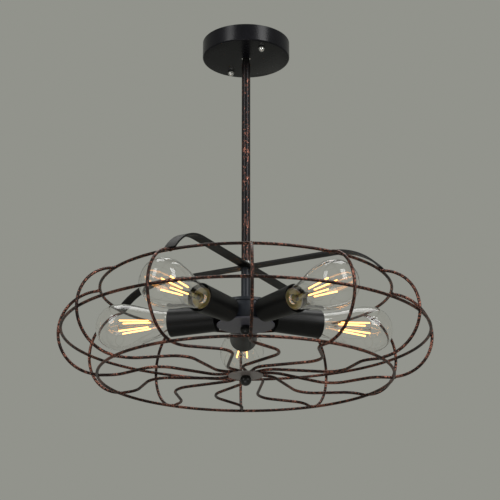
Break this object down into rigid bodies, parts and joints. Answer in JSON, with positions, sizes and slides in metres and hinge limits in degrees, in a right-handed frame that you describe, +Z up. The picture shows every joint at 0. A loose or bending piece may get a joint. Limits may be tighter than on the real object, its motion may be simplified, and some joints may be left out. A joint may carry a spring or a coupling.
{
  "type": "caged pendant light",
  "caption": "Pendant ceiling light: a short round canopy and down rod hold a drum-shaped wire cage with clear filament bulbs set around a central hub.",
  "frame": {"origin": "centre of the ceiling mount, on the ceiling plane", "axes": "+Z up out of the ceiling face along the rod, -Y towards the near side of the light"},
  "size_m": [0.5, 0.5, 0.4973],
  "materials": {
    "satin_black": "satin black coat",
    "matte_black": "semi-matt black coat",
    "worn_copper_black": "black coat rubbed through to a copper brown",
    "slate": "satin dark slate coat",
    "antique_grey": "satin grey-brown coat",
    "zinc": "bright zinc plate",
    "chrome": "polished",
    "brass": "bright",
    "moulded_insulator": "moulded",
    "cable": "smooth sheath",
    "bulb_glass": "clear",
    "glowing_filament": "warm glow"
  },
  "bodies": {
    "frame": {"ceiling_bar": "zinc", "bar_screws": "zinc", "ceiling_nipple": "matte_black", "ceiling_locknut": "zinc", "down_rod": "worn_copper_black", "clamp_nuts": "zinc", "cross_nipple": "zinc", "cross_strap_upper": "matte_black", "cross_strap_lower": "matte_black", "stem_tube": "slate", "hub_nipple": "zinc", "hub_drum": "slate", "hub_cover": "slate", "supply_cable": "cable", "socket_harness": "cable", "lampholder_inserts": "moulded_insulator", "screw_shells": "brass", "centre_contacts": "brass", "top_ring": "worn_copper_black", "middle_ring": "worn_copper_black", "bottom_ring": "worn_copper_black", "base_wires": "worn_copper_black", "medallion": "antique_grey", "rib_pair_1": "worn_copper_black", "rib_pair_2": "worn_copper_black", "rib_pair_3": "worn_copper_black", "rib_pair_4": "worn_copper_black", "rib_pair_5": "worn_copper_black", "rib_pair_6": "worn_copper_black", "socket_cup_1": "matte_black", "socket_cup_2": "matte_black", "socket_cup_3": "matte_black", "socket_cup_4": "matte_black", "socket_cup_5": "matte_black"},
    "canopy": {"canopy": "satin_black"},
    "cap_nut_left": {"cap_nut_left": "chrome"},
    "cap_nut_right": {"cap_nut_right": "chrome"},
    "hub_finial": {"hub_finial": "matte_black"},
    "medallion_finial": {"medallion_finial": "matte_black"},
    "bulb_1_travel": {"bulb_1_contact": "brass"},
    "bulb_1": {"bulb_1_base": "brass", "bulb_1_glass": "bulb_glass", "bulb_1_filaments": "glowing_filament"},
    "bulb_2_travel": {"bulb_2_contact": "brass"},
    "bulb_2": {"bulb_2_base": "brass", "bulb_2_glass": "bulb_glass", "bulb_2_filaments": "glowing_filament"},
    "bulb_3_travel": {"bulb_3_contact": "brass"},
    "bulb_3": {"bulb_3_base": "brass", "bulb_3_glass": "bulb_glass", "bulb_3_filaments": "glowing_filament"},
    "bulb_4_travel": {"bulb_4_contact": "brass"},
    "bulb_4": {"bulb_4_base": "brass", "bulb_4_glass": "bulb_glass", "bulb_4_filaments": "glowing_filament"},
    "bulb_5_travel": {"bulb_5_contact": "brass"},
    "bulb_5": {"bulb_5_base": "brass", "bulb_5_glass": "bulb_glass", "bulb_5_filaments": "glowing_filament"}
  },
  "joints": [
    {"name": "canopy_slide", "type": "slide", "parent": "frame", "child": "canopy", "axis": [0, 0, -1], "range_m": [0, 0.28]},
    {"name": "cap_nut_left_turn", "type": "hinge", "parent": "canopy", "child": "cap_nut_left", "pos_m": [-0.0202, 0.03965, -0.0275], "axis": [0, 0, 1], "continuous": true},
    {"name": "cap_nut_right_turn", "type": "hinge", "parent": "canopy", "child": "cap_nut_right", "pos_m": [0.0202, -0.03965, -0.0275], "axis": [0, 0, 1], "continuous": true},
    {"name": "hub_finial_turn", "type": "hinge", "parent": "frame", "child": "hub_finial", "pos_m": [0, 0, -0.4213], "axis": [0, 0, 1], "continuous": true},
    {"name": "medallion_finial_turn", "type": "hinge", "parent": "frame", "child": "medallion_finial", "pos_m": [0, 0, -0.4898], "axis": [0, 0, 1], "continuous": true},
    {"name": "bulb_1_travel", "type": "slide", "parent": "frame", "child": "bulb_1_travel", "axis": [0, 1, 0], "range_m": [0, 0.0146]},
    {"name": "bulb_1_turn", "type": "hinge", "parent": "bulb_1_travel", "child": "bulb_1", "pos_m": [0, 0.09, -0.403], "axis": [0, 1, 0], "range_deg": [0, 1440]},
    {"name": "bulb_2_travel", "type": "slide", "parent": "frame", "child": "bulb_2_travel", "axis": [-0.9511, 0.309, 0], "range_m": [0, 0.0146]},
    {"name": "bulb_2_turn", "type": "hinge", "parent": "bulb_2_travel", "child": "bulb_2", "pos_m": [-0.0856, 0.02781, -0.403], "axis": [-0.9511, 0.309, 0], "range_deg": [0, 1440]},
    {"name": "bulb_3_travel", "type": "slide", "parent": "frame", "child": "bulb_3_travel", "axis": [-0.5878, -0.809, 0], "range_m": [0, 0.0146]},
    {"name": "bulb_3_turn", "type": "hinge", "parent": "bulb_3_travel", "child": "bulb_3", "pos_m": [-0.0529, -0.07281, -0.403], "axis": [-0.5878, -0.809, 0], "range_deg": [0, 1440]},
    {"name": "bulb_4_travel", "type": "slide", "parent": "frame", "child": "bulb_4_travel", "axis": [0.5878, -0.809, 0], "range_m": [0, 0.0146]},
    {"name": "bulb_4_turn", "type": "hinge", "parent": "bulb_4_travel", "child": "bulb_4", "pos_m": [0.0529, -0.07281, -0.403], "axis": [0.5878, -0.809, 0], "range_deg": [0, 1440]},
    {"name": "bulb_5_travel", "type": "slide", "parent": "frame", "child": "bulb_5_travel", "axis": [0.9511, 0.309, 0], "range_m": [0, 0.0146]},
    {"name": "bulb_5_turn", "type": "hinge", "parent": "bulb_5_travel", "child": "bulb_5", "pos_m": [0.0856, 0.02781, -0.403], "axis": [0.9511, 0.309, 0], "range_deg": [0, 1440]}
  ],
  "couplings": [
    {"joint": "bulb_1_travel", "follows": "bulb_1_turn", "m_per_rad": 0.00057757},
    {"joint": "bulb_2_travel", "follows": "bulb_2_turn", "m_per_rad": 0.00057757},
    {"joint": "bulb_3_travel", "follows": "bulb_3_turn", "m_per_rad": 0.00057757},
    {"joint": "bulb_4_travel", "follows": "bulb_4_turn", "m_per_rad": 0.00057757},
    {"joint": "bulb_5_travel", "follows": "bulb_5_turn", "m_per_rad": 0.00057757}
  ]
}
